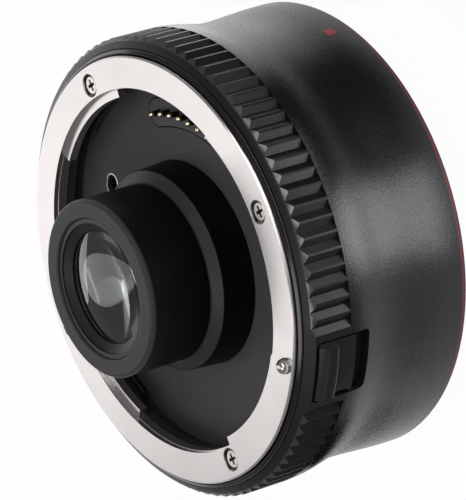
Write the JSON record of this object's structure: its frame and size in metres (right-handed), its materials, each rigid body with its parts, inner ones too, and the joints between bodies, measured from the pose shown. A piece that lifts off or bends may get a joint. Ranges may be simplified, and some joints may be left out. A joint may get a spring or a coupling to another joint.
{
  "type": "camera teleconverter",
  "caption": "Short camera teleconverter: a bayonet ring with a deep well and a nose tube in front, a grooved grip band, a release lever with its lock pin, and a male bayonet behind.",
  "frame": {"origin": "centre of the camera seat, where the rear flange meets the camera", "axes": "+Z along the optical axis towards the lens, +Y to the top of the barrel where the contacts are, +X to the side of the release lever"},
  "size_m": [0.074, 0.0732, 0.0491],
  "materials": {
    "bayonet_chrome": "satin hard chrome",
    "steel_screws": "bright steel",
    "lock_pin_steel": "polished steel",
    "barrel_coat": "black powder coat, matte",
    "grip_coat": "black powder coat, matte",
    "trim_gloss": "gloss black",
    "accent_red": "dull red",
    "lever_black": "satin black",
    "well_matt": "light-absorbing matte black",
    "contact_block": "matte black",
    "contact_gold": "gold plated",
    "board_green": "satin",
    "board_black": "matte",
    "flex_amber": "gloss",
    "chassis_cast": "cast light alloy, blackened",
    "nose_black": "black anodised, satin",
    "coated_glass": "coated optical glass",
    "seal_rubber": "matte"
  },
  "bodies": {
    "converter": {"lens_bayonet_ring": "bayonet_chrome", "rear_bayonet_ring": "bayonet_chrome", "baffle_bush": "bayonet_chrome", "lens_mount_screws": "steel_screws", "rear_mount_screws": "steel_screws", "rear_contact_screws": "steel_screws", "barrel_screws": "steel_screws", "board_screws": "steel_screws", "guide_rods": "steel_screws", "release_springs": "steel_screws", "bayonet_leaf_springs": "steel_screws", "mount_shim": "steel_screws", "outer_barrel": "barrel_coat", "grip_ring": "grip_coat", "front_trim_ring": "trim_gloss", "red_accent_ring": "accent_red", "front_baffle": "well_matt", "rear_baffle": "well_matt", "front_contact_block": "contact_block", "rear_contact_block": "contact_block", "rear_base_ring": "contact_block", "rear_contact_pads": "contact_gold", "front_contact_board": "board_green", "main_circuit_board": "board_green", "board_chips": "board_black", "front_flex_cable": "flex_amber", "rear_flex_cable": "flex_amber", "inner_chassis": "chassis_cast", "nose_collar": "nose_black", "nose_tube": "nose_black", "front_retaining_ring": "nose_black", "rear_cell": "nose_black", "rear_retaining_ring": "nose_black", "first_spacer": "nose_black", "second_spacer": "nose_black", "fourth_spacer": "nose_black", "fifth_spacer": "nose_black", "front_element": "coated_glass", "second_element": "coated_glass", "third_element": "coated_glass", "fourth_element": "coated_glass", "fifth_element": "coated_glass", "sixth_element": "coated_glass", "rear_weather_seal": "seal_rubber"},
    "release_slide": {"release_knob": "lever_black", "release_carriage": "lever_black", "lock_pin": "lock_pin_steel", "release_screws": "steel_screws"},
    "contact_pin_01": {"contact_pin_01": "contact_gold"},
    "contact_pin_02": {"contact_pin_02": "contact_gold"},
    "contact_pin_03": {"contact_pin_03": "contact_gold"},
    "contact_pin_04": {"contact_pin_04": "contact_gold"},
    "contact_pin_05": {"contact_pin_05": "contact_gold"},
    "contact_pin_06": {"contact_pin_06": "contact_gold"},
    "contact_pin_07": {"contact_pin_07": "contact_gold"},
    "contact_pin_08": {"contact_pin_08": "contact_gold"},
    "contact_pin_09": {"contact_pin_09": "contact_gold"},
    "contact_pin_10": {"contact_pin_10": "contact_gold"},
    "contact_pin_11": {"contact_pin_11": "contact_gold"}
  },
  "joints": [
    {"name": "release_travel", "type": "slide", "parent": "converter", "child": "release_slide", "axis": [0, 0, -1], "range_m": [0, 0.0018], "stiffness_N_per_m": 800, "springref_m": -0.002, "deforming": ["release_springs"]},
    {"name": "contact_pin_01_travel", "type": "slide", "parent": "converter", "child": "contact_pin_01", "axis": [0, 0, -1], "range_m": [0, 0.0012], "stiffness_N_per_m": 400, "springref_m": -0.0008},
    {"name": "contact_pin_02_travel", "type": "slide", "parent": "converter", "child": "contact_pin_02", "axis": [0, 0, -1], "range_m": [0, 0.0012], "stiffness_N_per_m": 400, "springref_m": -0.0008},
    {"name": "contact_pin_03_travel", "type": "slide", "parent": "converter", "child": "contact_pin_03", "axis": [0, 0, -1], "range_m": [0, 0.0012], "stiffness_N_per_m": 400, "springref_m": -0.0008},
    {"name": "contact_pin_04_travel", "type": "slide", "parent": "converter", "child": "contact_pin_04", "axis": [0, 0, -1], "range_m": [0, 0.0012], "stiffness_N_per_m": 400, "springref_m": -0.0008},
    {"name": "contact_pin_05_travel", "type": "slide", "parent": "converter", "child": "contact_pin_05", "axis": [0, 0, -1], "range_m": [0, 0.0012], "stiffness_N_per_m": 400, "springref_m": -0.0008},
    {"name": "contact_pin_06_travel", "type": "slide", "parent": "converter", "child": "contact_pin_06", "axis": [0, 0, -1], "range_m": [0, 0.0012], "stiffness_N_per_m": 400, "springref_m": -0.0008},
    {"name": "contact_pin_07_travel", "type": "slide", "parent": "converter", "child": "contact_pin_07", "axis": [0, 0, -1], "range_m": [0, 0.0012], "stiffness_N_per_m": 400, "springref_m": -0.0008},
    {"name": "contact_pin_08_travel", "type": "slide", "parent": "converter", "child": "contact_pin_08", "axis": [0, 0, -1], "range_m": [0, 0.0012], "stiffness_N_per_m": 400, "springref_m": -0.0008},
    {"name": "contact_pin_09_travel", "type": "slide", "parent": "converter", "child": "contact_pin_09", "axis": [0, 0, -1], "range_m": [0, 0.0012], "stiffness_N_per_m": 400, "springref_m": -0.0008},
    {"name": "contact_pin_10_travel", "type": "slide", "parent": "converter", "child": "contact_pin_10", "axis": [0, 0, -1], "range_m": [0, 0.0012], "stiffness_N_per_m": 400, "springref_m": -0.0008},
    {"name": "contact_pin_11_travel", "type": "slide", "parent": "converter", "child": "contact_pin_11", "axis": [0, 0, -1], "range_m": [0, 0.0012], "stiffness_N_per_m": 400, "springref_m": -0.0008}
  ]
}
